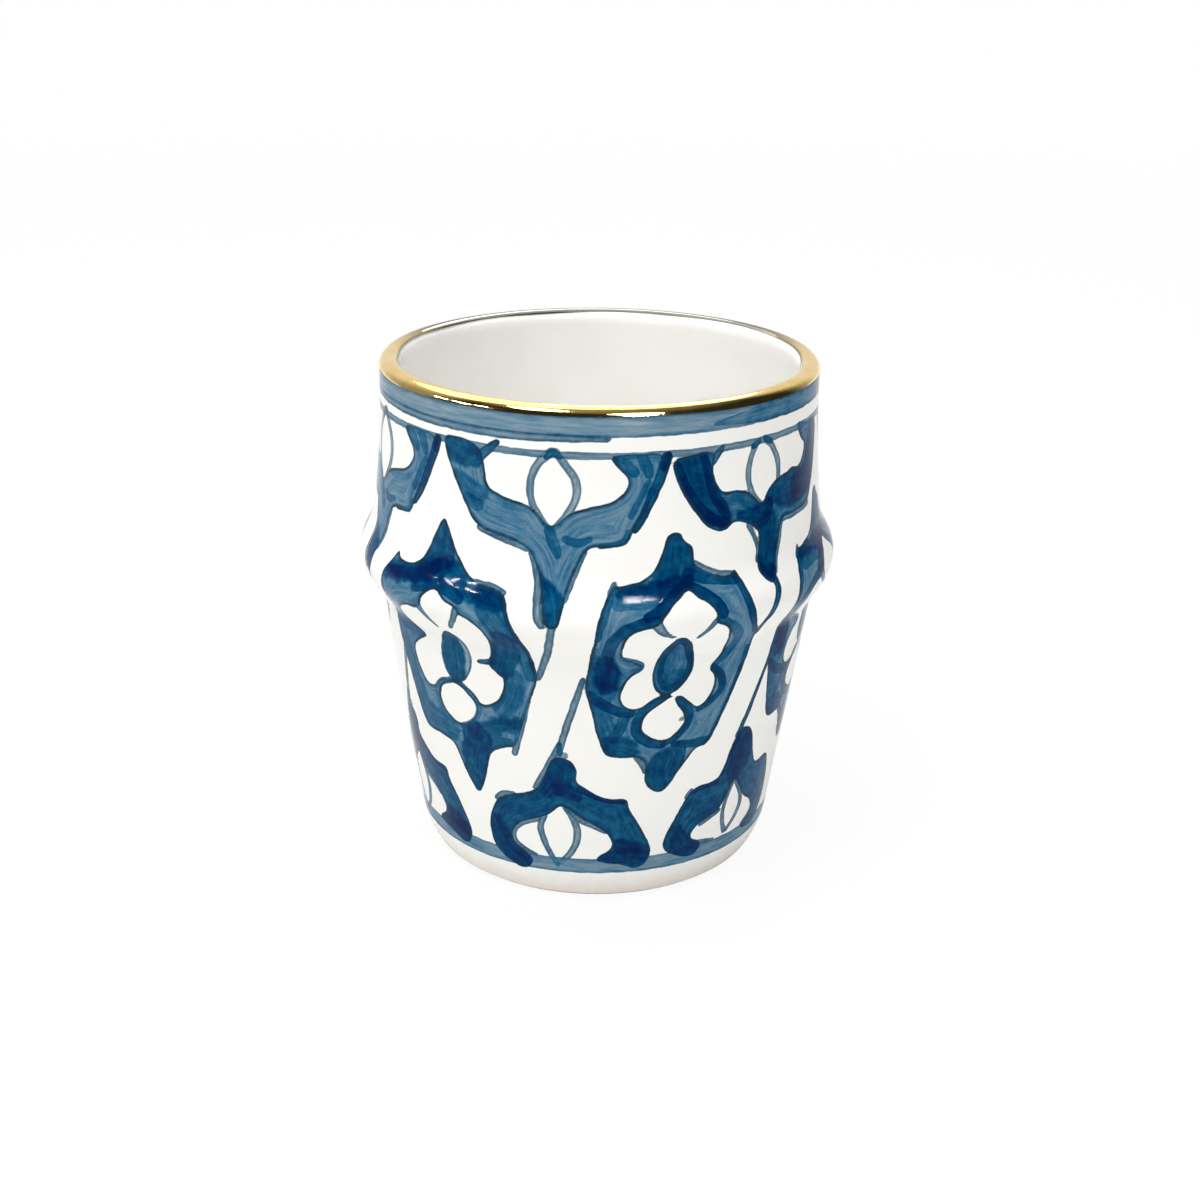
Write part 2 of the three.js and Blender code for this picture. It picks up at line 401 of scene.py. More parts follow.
UPPER_SIDE = {
    "drawn_at": 27.9,
    "fields": ((BODY, (
        (11, 75.4), (11.6, 76.6), (14, 76.8), (16.4, 77.2), (18.4, 76.6), (17.6, 74.2), (18.6, 71.6),
        (19.6, 70.5), (22.2, 70.6), (24.4, 69.9), (27.6, 67), (28.2, 69.1), (31, 70.7), (34, 71),
        (35, 71.5), (37.6, 70.8), (40.3, 73.8), (38, 75.4), (36.6, 78.3), (39.4, 77.3), (46.6, 77.4),
        (45.2, 71), (42.6, 66.6), (40.6, 64.2), (35, 64.1), (31.8, 64.4), (30.6, 60.4), (28.8, 55.7),
        (27.6, 55.1), (26, 56.6), (25.6, 58.2), (26.4, 61.6), (26.2, 63.6), (24.4, 64.9), (21.4, 66),
        (20.2, 64.6), (17.2, 65.1), (14.8, 68), (12.2, 72.2)), ()),),
    "inside": (
        (DARK, (14.4, 76.2, 3), (14.8, 73.4, 2.6), (16.2, 70.4, 2.4), (18, 68, 2.2), (19.8, 66.2, 1.5)),
        (INK, (12, 75.4, .7), (13, 72.6, .7), (15.2, 69, .8), (17.8, 66.4, 1), (20, 66, .9)),
        (INK, (16, 76.6, .7), (17, 74.4, .8), (17.4, 71.8, .8), (19, 69, 1), (20.2, 67, .8)),
        (BODY, (22, 69.6, 1), (24, 68.6, 1.2), (26.2, 67, 1)),
        (INK, (22.6, 66.4, .8), (25.4, 65.8, 1.8), (27.6, 65.6, 2.3), (28.6, 67, 1.2)),
        (DARK, (28.2, 68.2, 1.2), (30.4, 68.6, 2), (33.6, 68.4, 2.8), (37, 68, 3)),
        (INK, (37, 68, 2.6), (40.4, 68.6, 3), (43, 71, 2.8), (44, 75, 2.8)),
        (DARK, (28.4, 63.8, 2.6), (28.2, 60.5, 2.2), (27.8, 58, 2.2)),
        (INK, (26.2, 57.8, 1), (27.4, 56.4, 1.5), (28.6, 57, .9)),
    ),
    "free": (
        (LEAF, (26, 77, .65), (24.9, 75.2, .55), (24.3, 72.8, .6), (24.5, 70.8, .55), (25.5, 69.1, .45),
         (27, 67.6, .35)),
        (LEAF, (28, 77.3, .6), (29.4, 76.3, .55), (30.8, 74.2, .6), (31.3, 72.4, .6), (31.2, 70.6, .5)),
        (EDGE, (25.3, 76.6, .5), (26.7, 77.2, .5)),
        (EDGE, (27.9, 77.4, .5), (29.3, 76.7, .5)),
        (EDGE, (19.4, 77.4, .4), (18.4, 76.4, .7), (17.9, 75.4, .5)),
        (LINE, (24.2, 64.8, .45), (25.4, 62.8, .45), (26.1, 61, .4), (25.8, 59, .4)),
        (LINE, (31.7, 63.8, .5), (30.9, 61, .5), (30, 58.8, .45), (29.1, 56.8, .4)),
        (LINE, (31.8, 64.1, .5), (35, 63.9, .5), (40.6, 64.3, .5)),
        (EDGE, (28.2, 56, .6), (28.7, 54.6, .6), (28.1, 52.6, .6), (27.3, 50.5, .55), (26.4, 48.7, .5),
         (26.4, 47, .45)),
    ),
}

MEDALLION_FRONT = {
    "drawn_at": 12.0,
    "fields": (
        (WASH, (
            (10.4, 65.5), (12.5, 65.5), (12.8, 64.2), (14.4, 63.2), (14.4, 61), (15, 59.8), (18.4, 58.1),
            (20.6, 57.8), (21.1, 59), (22.4, 56.5), (23.3, 53.8), (24.3, 50.3), (26.4, 47.3), (26.4, 45),
            (24.9, 39.5), (22.3, 33), (20.2, 28.1), (17.8, 28.2), (16.2, 26), (14.4, 23.6), (12.7, 20.8),
            (10.6, 20.8), (8.5, 23.2), (9, 26), (7.8, 28), (2.2, 27.9), (0.8, 30.3), (-0.8, 37.5),
            (-1.7, 41), (-0.8, 45.5), (-0.3, 49.5), (0.6, 54.5), (1.6, 56.6), (2.3, 58.3), (3.4, 57.8),
            (7.8, 58.9), (9.6, 62.4)),
         (
             ((13.3, 57), (14.4, 55.6), (16, 54.8), (17.3, 52.9), (16.8, 51.5), (19.2, 50.6), (20.6, 47.6),
              (20.6, 44.8), (18, 42.6), (19.8, 40.8), (19.5, 37.6), (17.2, 35.4), (15.4, 37.2), (13.6, 38.6),
              (12.6, 38), (11.8, 39.4), (9.2, 38.5), (7, 36.6), (4.6, 37.2), (3.7, 39.6), (5.2, 42.6),
              (7.9, 44.2), (5.5, 45.4), (3.7, 46.2), (4.2, 50.4), (5.8, 51.6), (8.8, 52), (9.4, 53.6),
              (12.2, 56.2)),
             ((11.9, 38.3), (12.7, 38.5), (13.1, 37), (15.2, 34.4), (14.6, 32.6), (11.8, 30.1), (8.2, 31.9),
              (7.4, 33.6), (8.4, 36), (10.6, 37.3)),
         )),
        (BODY, ((12, 50.2), (10.4, 48), (9, 44.4), (8.7, 41.4), (10.2, 38.8), (12.6, 38.9), (15, 41.4),
                (15.7, 44.6), (14.2, 48.4)), ()),
    ),
    "inside": (
        (DARK, (11.5, 65.2, 1.3), (12, 63, 2.8), (11.8, 60.5, 3.2), (11, 58.6, 3)),
        (INK, (13.4, 58, 1.1), (10.5, 57.6, 1.4), (7, 57.3, 1.1), (3.2, 57, .9)),
        (INK, (12.6, 57.2, 1.1), (10.6, 55.6, 1.1), (8.8, 54.3, .9), (7.2, 53.5, .8)),
        (BODY, (9, 55.8, .9), (5.5, 55.6, .9), (3, 55.6, 1)),
        (DARK, (8.2, 53, .9), (5.2, 52.4, .9), (3.2, 51, 1), (2.1, 49, 1), (1.9, 46.8, 1)),
        (BODY, (1.8, 56.6, .8), (0.8, 53.5, .8), (0.2, 50, .5)),
        (BODY, (1, 46.6, 2), (1.2, 43, 2.9), (1, 40, 2.4)),
        (INK, (1.5, 45, 1.7), (1.7, 43.2, 2.2), (1.6, 41.4, 1.8)),
        (DARK, (-1, 39.4, .9), (0.6, 38.2, .9), (2.4, 37, .9), (4.4, 36.2, .9), (5.8, 36, .8)),
        (BODY, (0.6, 36.5, 1.8), (1.8, 33, 2.2), (2.4, 30, 2)),
        (BODY, (4.8, 35.6, .9), (4.2, 33.4, 1), (3, 31.6, 1)),
        (DARK, (2, 30.2, 1.8), (4, 30.2, 2), (6.2, 29.4, 1.7)),
        (DARK, (12.2, 38.5, .8), (10.6, 38.2, .9), (8.8, 37.2, .95), (7.4, 35.6, 1), (6.7, 33.6, 1.05),
         (7.2, 31.6, 1), (8.8, 30.4, .9), (11.4, 29.8, .8)),
        (DARK, (11.6, 29.9, .6), (13.8, 30.8, .7), (15.3, 32.6, .8), (15.9, 34.4, .9), (15, 36.3, .9),
         (13.5, 37.5, .8)),
        (DARK, (13.2, 29.6, .5), (15.6, 29.2, .8), (18, 29, .9), (20.4, 28.8, .9)),
        (DARK, (12.4, 28, 1.4), (11.4, 26, 2.4), (11.2, 24, 2.5), (11.8, 22.4, 1.8)),
        (DARK, (14.8, 29, 1.1), (15, 27.2, 1.1), (14.4, 25.4, 1), (13.8, 24, .7)),
        (DARK, (20.2, 28.8, .7), (21.4, 31.2, .7), (22.8, 34.4, .7), (24, 37.8, .7), (25, 41.2, .7),
         (25.6, 44.4, .6)),
        (DARK, (21.2, 58.4, 1), (22.3, 56.2, 1.1), (23, 54, 1.1), (23.5, 51.8, .9), (24.4, 49.6, .7),
         (25.6, 47.8, .5)),
        (INK, (13.8, 57, .9), (15.6, 55.9, 1), (17.4, 54.3, 1.1), (18.2, 52.8, .9)),
        (DARK, (13.4, 59.3, .8), (15.4, 58.2, .8), (18, 57.6, .7), (21, 57.3, .9)),
        (EDGE, (17.6, 51.9, .8), (19.4, 51, .8), (21.2, 49.4, .85), (22.6, 47.5, .9), (22.4, 45.6, .9),
         (20.8, 44.2, .9), (18.6, 42.9, .8)),
        (DARK, (18.4, 42.7, .8), (20.4, 41.4, .8), (21.4, 39.8, .75), (21.3, 38, .7), (20, 36.6, .65),
         (17.4, 35.3, .6)),
        (DARK, (12.2, 49, .5), (10.7, 46.8, .55), (10, 44, .5), (10, 41.6, .5), (11, 40, .6), (12.6, 40, .6),
         (14.3, 41.8, .5), (14.9, 44.4, .5), (13.8, 47.2, .5), (12.4, 49.2, .5)),
        (BODY, (13.2, 42.6, 1), (12, 41.4, 1.5), (10.9, 42.6, 1)),
    ),
    "free": (
        (LINE, (8.3, 52.5, .9), (9.2, 51, .6), (10.2, 50.3, .4), (11.2, 49.8, .25)),
        (LINE, (17, 51.8, .5), (16, 50.4, .4), (14.8, 49.2, .3)),
        (LINE, (3.8, 45.9, .5), (5.6, 45.3, .5), (7.3, 44.5, .5), (6.4, 43.6, .5), (4.6, 43, .5)),
        (HAIR, (15.3, 34, .4), (14.2, 34, .3)),
        (LINE, (14.6, 60.4, .6), (16.2, 59.3, .6), (18.2, 58.4, .5), (20.6, 58, .5)),
        (LINE, (6.9, 27.9, .45), (8.1, 26.6, .5), (8.7, 25, .4)),
        (LINE, (2, 57, .5), (2.6, 58.3, .4)),
    ),
}

MEDALLION_SIDE = {
    "drawn_at": -24.3,
    "fields": (
        (WASH, (
            (-24.7, 66), (-23.3, 63.3), (-21.4, 59.8), (-18.8, 57), (-15.2, 56.6), (-12.8, 56),
            (-12.2, 52.8), (-10.5, 48.5), (-8.7, 42), (-10, 38.5), (-12, 32.5), (-13.4, 28.6), (-14.8, 28.4),
            (-18.4, 26.8), (-19.5, 23), (-20.8, 19.6), (-22.2, 17.6), (-23.9, 20), (-25.7, 23.8),
            (-26.6, 26), (-29.5, 26.6), (-34.4, 26.3), (-36, 30), (-37.9, 37), (-39.4, 43.6),
            (-37.8, 49.5), (-37, 53.6), (-35.4, 56), (-34.5, 57.8), (-33.4, 56.5), (-29.2, 56.8),
            (-27, 60.6)),
         (
             ((-24.2, 54.9), (-23, 53.3), (-20.4, 52.6), (-20.2, 51.6), (-18.2, 51.2), (-16, 49),
              (-16.4, 44.6), (-17.4, 43), (-15.4, 41.2), (-14.4, 41), (-15.1, 37.8), (-16.8, 35.8),
              (-19.2, 34.9), (-21, 37.4), (-24.4, 38.4), (-28, 37.4), (-29.6, 35.4), (-32, 35.3),
              (-34.6, 40.8), (-31.8, 43.3), (-28.8, 44.7), (-34.2, 45.9), (-35.4, 47.3), (-32, 49.8),
              (-27.4, 50.4), (-26.8, 53)),
             ((-28.6, 34.2), (-27.4, 36.6), (-24.6, 38), (-21.4, 36.2), (-19.9, 34.2), (-21.4, 31.6),
              (-24.3, 29.9), (-27.6, 31.7)),
         )),
        (LINE, ((-24.2, 47.5), (-26, 45.6), (-26.7, 42), (-25.8, 38.4), (-22.6, 37.9), (-20.4, 41),
                (-20, 44), (-21.8, 46.6)), ()),
    ),
    "inside": (
        (DARK, (-24.7, 63.2, 1.8), (-24.6, 61, 2.8), (-25.4, 58.4, 3.4), (-27.8, 56.8, 1.8)),
        (DARK, (-26, 56.8, 1.6), (-29.5, 55.9, 1.9), (-33, 55, 1.9), (-36, 54.4, 1.6)),
        (INK, (-35.2, 54.4, 1), (-32, 55, 1.2), (-28.8, 55.6, 1.2), (-25.4, 57.4, 1.3), (-23.6, 58.4, .9)),
        (DARK, (-28.6, 53.6, .7), (-26, 54.8, 1), (-22.8, 55.4, 1.2), (-20, 54.2, .9)),
        (DARK, (-23, 58.8, 1.2), (-20.4, 56.6, 1.8), (-17.4, 55.2, 1.9), (-14.2, 54.6, 1.8)),
        (DARK, (-17, 55.4, 1.2), (-14.2, 55, 1.2)),
        (DARK, (-13, 55.4, .6), (-12.2, 52.4, .6), (-10.6, 48.2, .6), (-9, 42.6, .6)),
        (BODY, (-15.8, 53.6, 1.9), (-14.2, 51.2, 2.2), (-13.2, 48.6, 2.2)),
        (DARK, (-13.4, 48.2, 2), (-13.8, 45.6, 2.5), (-14.8, 43.2, 2.3)),
        (BODY, (-11.6, 48.4, 1), (-10.8, 45, 1), (-10.2, 42, 1)),
        (BODY, (-13, 41, 2.2), (-13.2, 38, 2.2), (-15, 35.4, 2.2)),
        (DARK, (-12.8, 33, 1.3), (-16, 32, 1.7), (-19, 30.6, 1.6), (-21.5, 29.2, 1.6)),
        (EDGE, (-14.6, 29.2, .8), (-17, 29, .9), (-19, 27.4, .9)),
        (DARK, (-21, 28.5, 3.2), (-21.8, 25.5, 3.2), (-22.3, 22.8, 2.6), (-22.2, 20, 1.8)),
        (BODY, (-38, 43, 2.2), (-36.8, 39, 2), (-35.6, 34.5, 2.4), (-34.2, 30, 2.8), (-31, 29, 2.8),
         (-27, 28.6, 2.4)),
        (BODY, (-37.4, 45, 1.7), (-34, 44.8, 1.5), (-30, 44.7, .8)),
        (DARK, (-24, 46.2, 1.6), (-23.8, 43.4, 2.6), (-23.9, 40.4, 2.4), (-24.1, 38.9, 1.5)),
    ),
    "free": (
        (LINE, (-28, 51.4, .9), (-27.2, 50, .6), (-26.2, 48.6, .45), (-25.5, 47.7, .3)),
        (LINE, (-20.4, 52.2, .7), (-21, 50.6, .5), (-22.4, 48.5, .3)),
        (EDGE, (-18.9, 43, .3), (-17.4, 43.2, .45), (-16, 43.6, .6)),
        (LINE, (-25.2, 38, .5), (-27.4, 37.1, .6), (-29, 35.7, .6), (-29.3, 33.8, .55), (-28, 31.6, .5)),
        (LINE, (-23.4, 38, .5), (-21.4, 36.9, .6), (-19.8, 35.2, .6), (-20, 33, .55), (-21.8, 31, .5),
         (-24.2, 29.8, .5)),
        (LINE, (-10.6, 37.6, .4), (-12.2, 32.4, .6), (-13.7, 27.4, .55)),
        (LINE, (-17.8, 56.9, .4), (-15.4, 56.8, .45), (-13.2, 56.1, .45)),
    ),
}

LOWER_FRONT = {
    "drawn_at": -5.7,
    "fields": ((DARK, (
        (-7.4, 27.4), (-5.7, 27.9), (-3.8, 27.2), (-2.8, 25.4), (-3.3, 23.3), (-1, 21.9), (2, 20.1),
        (6, 20.2), (6, 18.4), (8.6, 14.4), (11.2, 9.6), (10.2, 6.9), (8, 6), (5.4, 7.2), (1.2, 7.7),
        (0.2, 8.5), (3.9, 10.6), (2.8, 13.2), (0.6, 15), (-2.4, 16.4), (-5.8, 19), (-7.4, 17), (-10, 15.8),
        (-14, 14.2), (-15.8, 11.6), (-15.2, 9.7), (-12.4, 8.5), (-11.5, 6.8), (-12.8, 5.3), (-14.6, 5.1),
        (-18.8, 7.1), (-20.3, 9.6), (-20.3, 13.4), (-18.6, 17.4), (-15.6, 19.3), (-10.8, 20.7),
        (-9.2, 22.4)), ()),),
    "inside": (
        (DARK, (-5.5, 26, 2.4), (-6.2, 23.5, 2.6), (-7.6, 21.4, 1.8)),
        (DARK, (-18.6, 13.5, 1.6), (-17.8, 9.6, 2.4), (-14, 7.1, 2.2)),
        (INK, (-7, 22.4, 1), (-5.2, 21.4, 1.7), (-3, 20.6, 1)),
        (INK, (-2.4, 22, .6), (0, 20.8, .6), (2.6, 19.6, .5), (5.6, 19.8, .7)),
        (INK, (5, 11, 1.4), (8, 9.8, 1.9), (10.2, 9, 1.3)),
        (DARK, (8.4, 8.4, 1.8), (4.5, 8.8, 1.5), (1, 8.7, .9)),
    ),
    "free": (
        (LINE, (-5.8, 30, .5), (-7.1, 27.6, .5), (-8.8, 24.4, .45), (-10.4, 21.6, .45)),
        (LINE, (-14.6, 19.6, .4), (-16.6, 19.3, .5), (-18.2, 18, .45)),
        (LINE, (-10, 15.5, .5), (-12.4, 14.7, .5), (-14.5, 13.4, .5), (-15.4, 11.6, .5), (-14.8, 9.9, .5),
         (-12.6, 8.8, .45), (-10.8, 8.2, .35)),
        (LINE, (-5, 18.2, .4), (-3, 16.3, .5), (-1.5, 15.5, .5), (0.5, 14.7, .45), (2.2, 13.7, .4)),
        (LINE, (-8.8, 16.4, .5), (-9.6, 15, .6), (-9.8, 13.4, .65), (-9.3, 11.6, .62), (-8.6, 10, .6),
         (-7.6, 8.1, .55), (-6.7, 6.8, .5)),
        (LINE, (-5.2, 18.3, .4), (-4, 16.6, .5), (-3, 14.8, .65), (-2.8, 13, .72), (-3.3, 11, .68),
         (-4.3, 9.2, .6), (-5.5, 8, .5), (-6.5, 7.2, .4)),
        (LINE, (-1.9, 42.2, .4), (-2.9, 38.6, .55), (-4.2, 34.6, .6), (-5.3, 31, .6), (-5.8, 28.4, .55)),
        (HAIR, (-6.6, 28.4, .6), (-5, 28.2, .7)),
        (EDGE, (-5.8, 30.2, .5), (-5.7, 28.4, .5)),
    ),
}

LOWER_SIDE = {
    "drawn_at": 28.5,
    "fields": ((DARK, (
        (27, 28.6), (28.6, 29.2), (30.6, 28.2), (31.7, 25.8), (32.6, 22.8), (34.2, 20), (38.4, 20.8),
        (40, 18.8), (42, 13.2), (41.4, 9.2), (38.6, 6.6), (35, 7), (32.2, 8.4), (36.4, 10.2), (35.2, 12.8),
        (32.4, 14.2), (30.2, 17.2), (28.3, 19.5), (26.8, 16.4), (25.4, 14.1), (23.2, 13.5), (20, 12.5),
        (18.8, 10.2), (21.4, 9.2), (21.9, 8), (20.6, 6.6), (18.6, 6.5), (14.2, 8.3), (12.9, 10.4),
        (15, 14.6), (17.2, 18.8), (18.8, 20.4), (23.4, 20.3), (24.7, 22), (25.4, 24.8)), ()),),
    "inside": (
        (DARK, (28.8, 27.8, 2.2), (29, 25, 2.8), (28.6, 22, 3), (28, 20, 2)),
        (DARK, (15.6, 12, 1.8), (17.6, 9, 2.4), (20, 8.1, 1.9)),
        (INK, (17.6, 19.6, .7), (20, 20.2, .7), (23.6, 20, .7)),
        (INK, (24.4, 21.4, .6), (25.4, 24.4, .7), (27, 28, .7)),
    ),
    "free": (
        (EDGE, (32.6, 43, .4), (31.6, 40, .45), (30.6, 37, .5), (29.6, 34.2, .5), (28.8, 32, .55),
         (28, 30.2, .6), (27, 28, .6)),
        (LINE, (28.3, 19, .4), (26.9, 16, .5), (26.3, 13.4, .55), (26.9, 11, .55), (27.7, 9.2, .5)),
        (LINE, (28.7, 18.8, .4), (30.8, 15.8, .5), (31.6, 13.4, .6), (30.6, 11.2, .55), (28.4, 9.2, .5)),
        (LINE, (25.4, 13.9, .45), (23.4, 13.3, .45), (21, 12.4, .4)),
        (LINE, (17.2, 18.8, .5), (18, 19.8, .45)),
        (LINE, (21, 9, .4), (23, 8.6, .4), (25, 8.3, .3)),
    ),
}

# Centres of the motifs round the wall, front first and then to the right
UPPER_CENTRES = (-6.5, 27.9, 66.7, 105.5, 144.2, -43.2)
MEDALLION_CENTRES = (12.0, 45.2, 84.4, 123.5, 162.7, -24.3)
LOWER_CENTRES = (-5.7, 28.5, 67.5, 106.5, 145.6, -41.6)

# Bands round the wall: height above the foot, half width, load, and how far the hand drifted
BANDS = (
    (81.5, 1.55, (0.31, 0.08, 0.25), 0.12),
    (77.3, 0.55, (0.27, 0.08, 0.30), 0.14),
    (6.9, 1.4, (0.35, 0.08, 0.20), 0.22),
)

# Where the brush came round again below the rim band and stopped, and the band's second coat on the right
RIM_COAT = (0.38, 0.08, 0.25)
RIM_TOUCHES = {
    "drawn_at": 0.0,
    "fields": (),
    "inside": (),
    "free": (
        (LINE, (-75, 80.1, .5), (-45, 79.8, .6), (-30, 79.6, .65), (-15, 79.6, .65), (-5, 79.8, .6),
         (1.4, 79.9, .5)),
        (LINE, (-14, 80.3, .1), (-6, 80.2, .18), (-1, 80.1, .24), (1.5, 79.9, .26)),
        (RIM_COAT, (18, 81.1, .3), (25, 81.4, 1.2), (32, 81.5, 1.5), (60, 81.5, 1.5), (80, 81.6, .8)),
    ),
}

# How strokes are laid, with lengths in millimetres
KEEP_APART = 0.9  # no spot is this close to two strokes of one pass
REACH = 1.6  # a stroke is measured this far past its edge
FAR_OFF = 9.0  # the distance kept where no stroke is near
TRIM_EDGE = 6.0  # a soft stroke ends this much more sharply where its field ends
BROAD = 1.15  # half width of a stroke that carries enough paint to stay wet
WET, DAMP, DRY = 0.0, 0.04, 0.05  # pooling of strokes laid into a field that is wet, nearly dry and dry
CORNER_CUTS = 2  # rounds of cutting that soften a drawn corner
SEED_STEP = 0.618  # spreads the seeds of the bristles over 0 to 1
BAND_POINTS = 73  # along a band, round the wall
BAND_WAVES = (1, 2, 3, 5)  # times round the cup that the hand drifts up and down
BAND_SEED = 20
FULL_TURN = 6  # about one turn, in radians


def eased(points, closed=False):
    """A run of points with its corners cut, as a soft brush turns them."""
    points = np.asarray(points, float)
    for _ in range(CORNER_CUTS):
        ahead = np.roll(points, -1, axis=0)
        cut = np.stack([0.75 * points + 0.25 * ahead, 0.25 * points + 0.75 * ahead], axis=1)
        if closed:
            points = cut.reshape(-1, points.shape[1])
        else:
            points = np.vstack([points[:1], cut[:-1].reshape(-1, points.shape[1])[1:-1], points[-1:]])
    return points


def measure(path, places):
    """Distance of places from a stroke's edge, and how far they lie along and across the stroke."""
    start, end = path[:-1], path[1:]
    step = end[:, :2] - start[:, :2]
    length = np.maximum(np.linalg.norm(step, axis=1), 1e-6)
    offset = places[:, None, :] - start[None, :, :2]
    share = np.clip((offset * step).sum(-1) / length ** 2, 0, 1)
    gap = np.linalg.norm(offset - share[..., None] * step, axis=-1)
    gap -= start[:, 2] + share * (end[:, 2] - start[:, 2])
    nearest = gap.argmin(1)
    row = np.arange(len(places))
    walked = np.concatenate([[0], np.cumsum(length)[:-1]])
    along = walked[nearest] + share[row, nearest] * length[nearest]
    turn = step[nearest, 0] * offset[row, nearest, 1] - step[nearest, 1] * offset[row, nearest, 0]
    return gap[row, nearest], along, turn / length[nearest]


def within(outline, places):
    """Which places lie inside a closed outline."""
    start, end = outline, np.roll(outline, -1, axis=0)
    x, y = places[:, None, 0], places[:, None, 1]
    crosses = (start[:, 1] > y) != (end[:, 1] > y)
    rise = np.where(np.abs(end[:, 1] - start[:, 1]) < 1e-9, 1e-9, end[:, 1] - start[:, 1])
    at = start[:, 0] + (y - start[:, 1]) / rise * (end[:, 0] - start[:, 0])
    return (crosses & (x < at)).sum(1) % 2 == 1


def measure_field(outline, holes, places):
    """Distance of places from a filled field's edge, below zero inside, and how far along and off it."""
    gap = np.full(len(places), np.inf)
    along = np.zeros(len(places))
    filled = within(outline, places)
    for edge in (outline, *holes):
        loop = np.vstack([edge, edge[:1]])
        reach, walked, _ = measure(np.column_stack([loop, np.zeros(len(loop))]), places)
        nearer = reach < gap
        gap[nearer], along[nearer] = reach[nearer], walked[nearer]
    for hole in holes:
        filled &= ~within(hole, places)
    return np.where(filled, -gap, gap), along, gap


class Hand:
    """The painter's hand, which repeats a motif at a new centre and wanders a little."""

    WANDER = 0.5  # millimetres
    RISE_WAVE, ROUND_WAVE = 9, 7  # millimetres up and round the wall for one radian of a wander

    def __init__(self, drawn_at, centre, seed):
        self.drawn_at = drawn_at
        self.centre = centre
        random = np.random.default_rng(seed)
        steady = abs(centre - drawn_at) < 0.01  # in its own place a motif is painted as it is drawn
        self.sway = np.zeros(4) if steady else random.uniform(-1, 1, 4)

    def moved(self, points):
        points = np.array(points, float)
        across, rise = points[:, 0] - self.drawn_at, points[:, 1]
        aside = self.sway[0] * np.sin(rise / self.RISE_WAVE + self.sway[1] * FULL_TURN)
        upward = self.sway[2] * np.sin(across / self.ROUND_WAVE + self.sway[3] * FULL_TURN)
        points[:, 0] = self.centre + across + self.WANDER * aside
        points[:, 1] = rise + self.WANDER * upward
        return points


